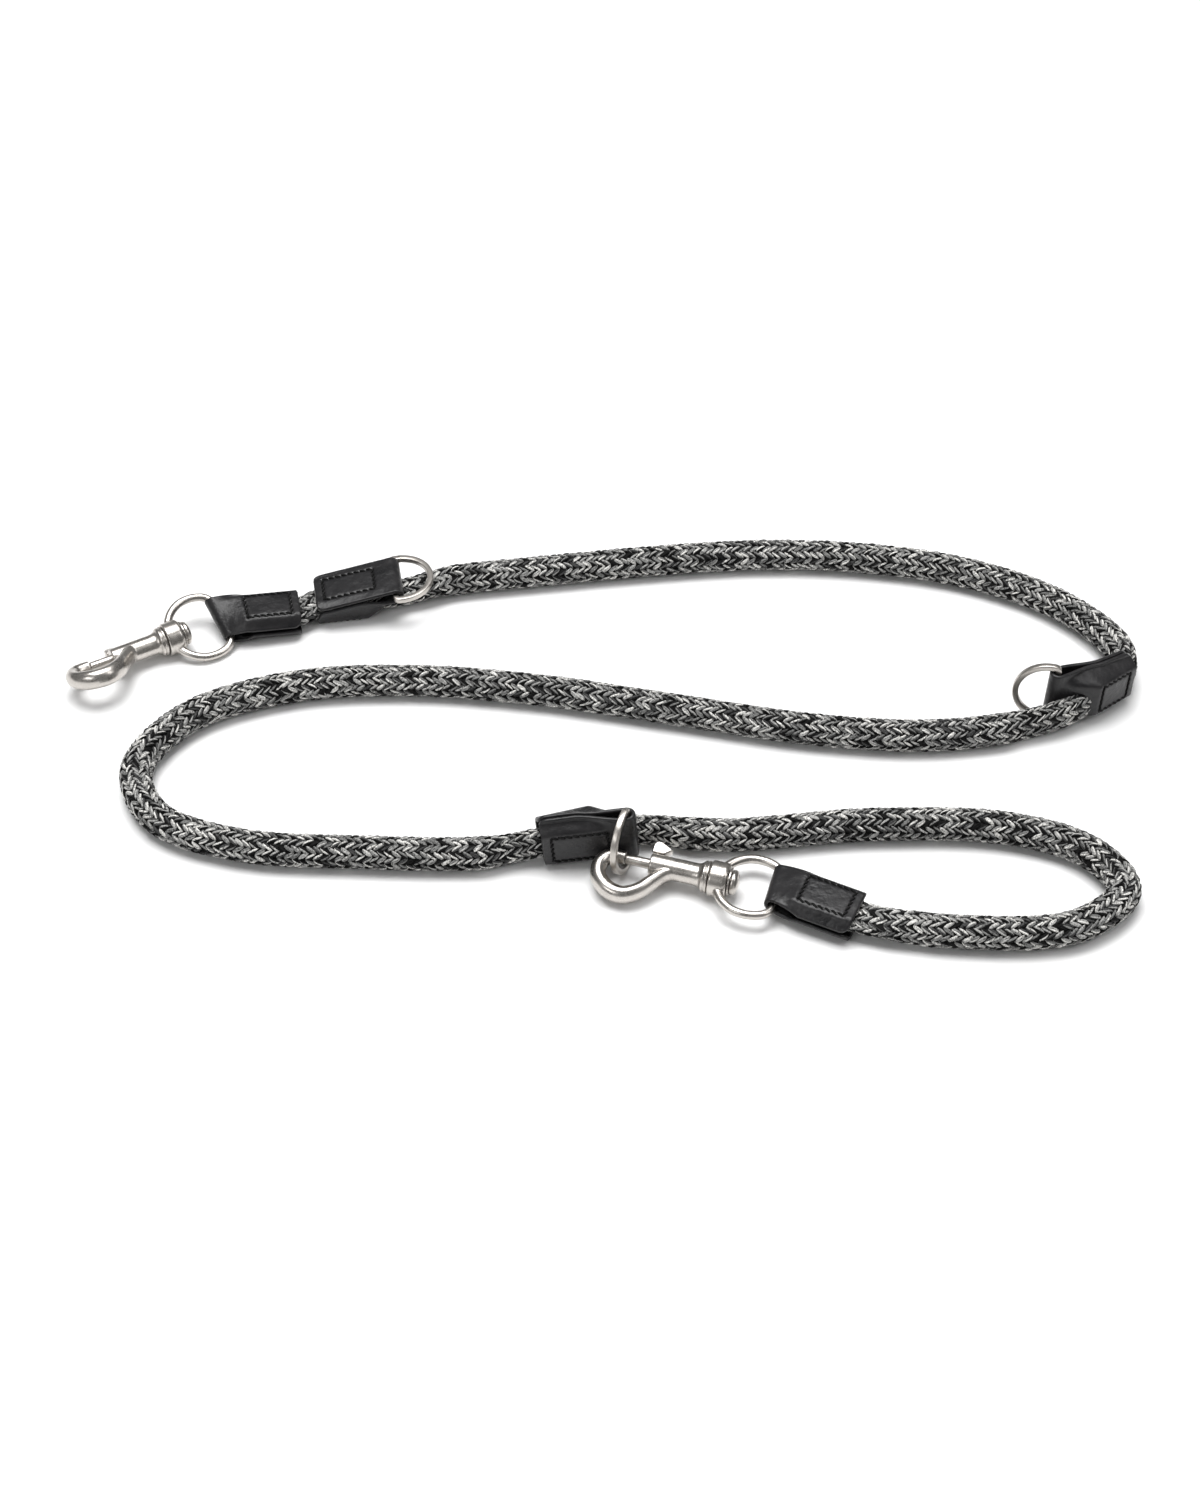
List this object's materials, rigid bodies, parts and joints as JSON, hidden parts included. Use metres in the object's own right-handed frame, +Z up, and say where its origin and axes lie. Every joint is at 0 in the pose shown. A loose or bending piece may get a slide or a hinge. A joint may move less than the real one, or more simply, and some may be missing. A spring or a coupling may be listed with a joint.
{
  "type": "training leash",
  "caption": "Adjustable dog training leash of knitted rope with a swivel bolt snap at each end and D-rings held in stitched leather keepers.",
  "frame": {"origin": "on the surface the leash lies on, under the middle of the box round the leather and metal fittings (the rope not counted)", "axes": "+Z up; +X along the length of the laid-out leash, from the lead snap's side towards the outer bend; +Y away from the handle loop"},
  "size_m": [0.4971, 0.2608, 0.0329],
  "materials": {
    "rope_cover": "marled black, grey and off-white knit",
    "rope_core": "matte yarn",
    "leather": "smooth, semi-gloss, burnished edges",
    "stitch_thread": "waxed thread",
    "satin_nickel": "satin nickel plate",
    "spring_steel": "drawn wire"
  },
  "bodies": {
    "leash": {"rope_cover": "rope_cover", "rope_core": "rope_core", "lead_snap_strap": "leather", "handle_snap_strap": "leather", "lead_ring_keeper": "leather", "middle_ring_keeper": "leather", "handle_ring_keeper": "leather", "lead_snap_strap_needle_thread": "stitch_thread", "lead_snap_strap_bobbin_thread": "stitch_thread", "handle_snap_strap_needle_thread": "stitch_thread", "handle_snap_strap_bobbin_thread": "stitch_thread", "lead_ring_keeper_needle_thread": "stitch_thread", "lead_ring_keeper_bobbin_thread": "stitch_thread", "middle_ring_keeper_needle_thread": "stitch_thread", "middle_ring_keeper_bobbin_thread": "stitch_thread", "handle_ring_keeper_needle_thread": "stitch_thread", "handle_ring_keeper_bobbin_thread": "stitch_thread"},
    "lead_ring": {"lead_d_ring": "satin_nickel"},
    "middle_ring": {"middle_d_ring": "satin_nickel"},
    "handle_ring": {"handle_d_ring": "satin_nickel"},
    "lead_eye": {"lead_swivel_eye": "satin_nickel"},
    "lead_snap": {"lead_snap_body": "satin_nickel", "lead_swivel_rivet": "satin_nickel", "lead_swivel_washer": "satin_nickel", "lead_snap_spring": "spring_steel"},
    "lead_bolt": {"lead_snap_bolt": "satin_nickel", "lead_snap_thumb_knob": "satin_nickel"},
    "handle_eye": {"handle_swivel_eye": "satin_nickel"},
    "handle_snap": {"handle_snap_body": "satin_nickel", "handle_swivel_rivet": "satin_nickel", "handle_swivel_washer": "satin_nickel", "handle_snap_spring": "spring_steel"},
    "handle_bolt": {"handle_snap_bolt": "satin_nickel", "handle_snap_thumb_knob": "satin_nickel"}
  },
  "joints": [
    {"name": "lead_ring_swing", "type": "hinge", "parent": "leash", "child": "lead_ring", "pos_m": [-0.09937, 0.10204, 0.0157], "axis": [0.1564, -0.9877, 0], "range_deg": [0, 138]},
    {"name": "middle_ring_swing", "type": "hinge", "parent": "leash", "child": "middle_ring", "pos_m": [0.20783, 0.02234, 0.01639], "axis": [-0.0481, -0.0404, -0.998], "range_deg": [-12, 100]},
    {"name": "handle_ring_swing", "type": "hinge", "parent": "leash", "child": "handle_ring", "pos_m": [0.01201, -0.06681, 0.01658], "axis": [0.0762, 0.0187, -0.9969], "range_deg": [-2, 2]},
    {"name": "lead_eye_swing", "type": "hinge", "parent": "leash", "child": "lead_eye", "pos_m": [-0.18022, 0.082, 0.0083], "axis": [-0.4698, 0.8138, 0.342], "range_deg": [-100, 100]},
    {"name": "lead_snap_swivel", "type": "hinge", "parent": "lead_eye", "child": "lead_snap", "pos_m": [-0.2062, 0.067, 0.0083], "axis": [0.866, 0.5, 0], "continuous": true},
    {"name": "lead_bolt_slide", "type": "slide", "parent": "lead_snap", "child": "lead_bolt", "axis": [0.866, 0.5, 0], "range_m": [0, 0.0095], "stiffness_N_per_m": 300, "springref_m": -0.008, "deforming": ["lead_snap_spring"]},
    {"name": "handle_eye_swing", "type": "hinge", "parent": "leash", "child": "handle_eye", "pos_m": [0.0758, -0.09331, 0.00751], "axis": [0.2672, 0.9636, 0], "range_deg": [-1, 4]},
    {"name": "handle_snap_swivel", "type": "hinge", "parent": "handle_eye", "child": "handle_snap", "pos_m": [0.0469, -0.0853, 0.0084], "axis": [0.9632, -0.2671, -0.0297], "range_deg": [-3, 3]},
    {"name": "handle_bolt_slide", "type": "slide", "parent": "handle_snap", "child": "handle_bolt", "axis": [0.9632, -0.2671, -0.0297], "range_m": [0, 0.0095], "stiffness_N_per_m": 300, "springref_m": -0.008, "deforming": ["handle_snap_spring"]}
  ]
}
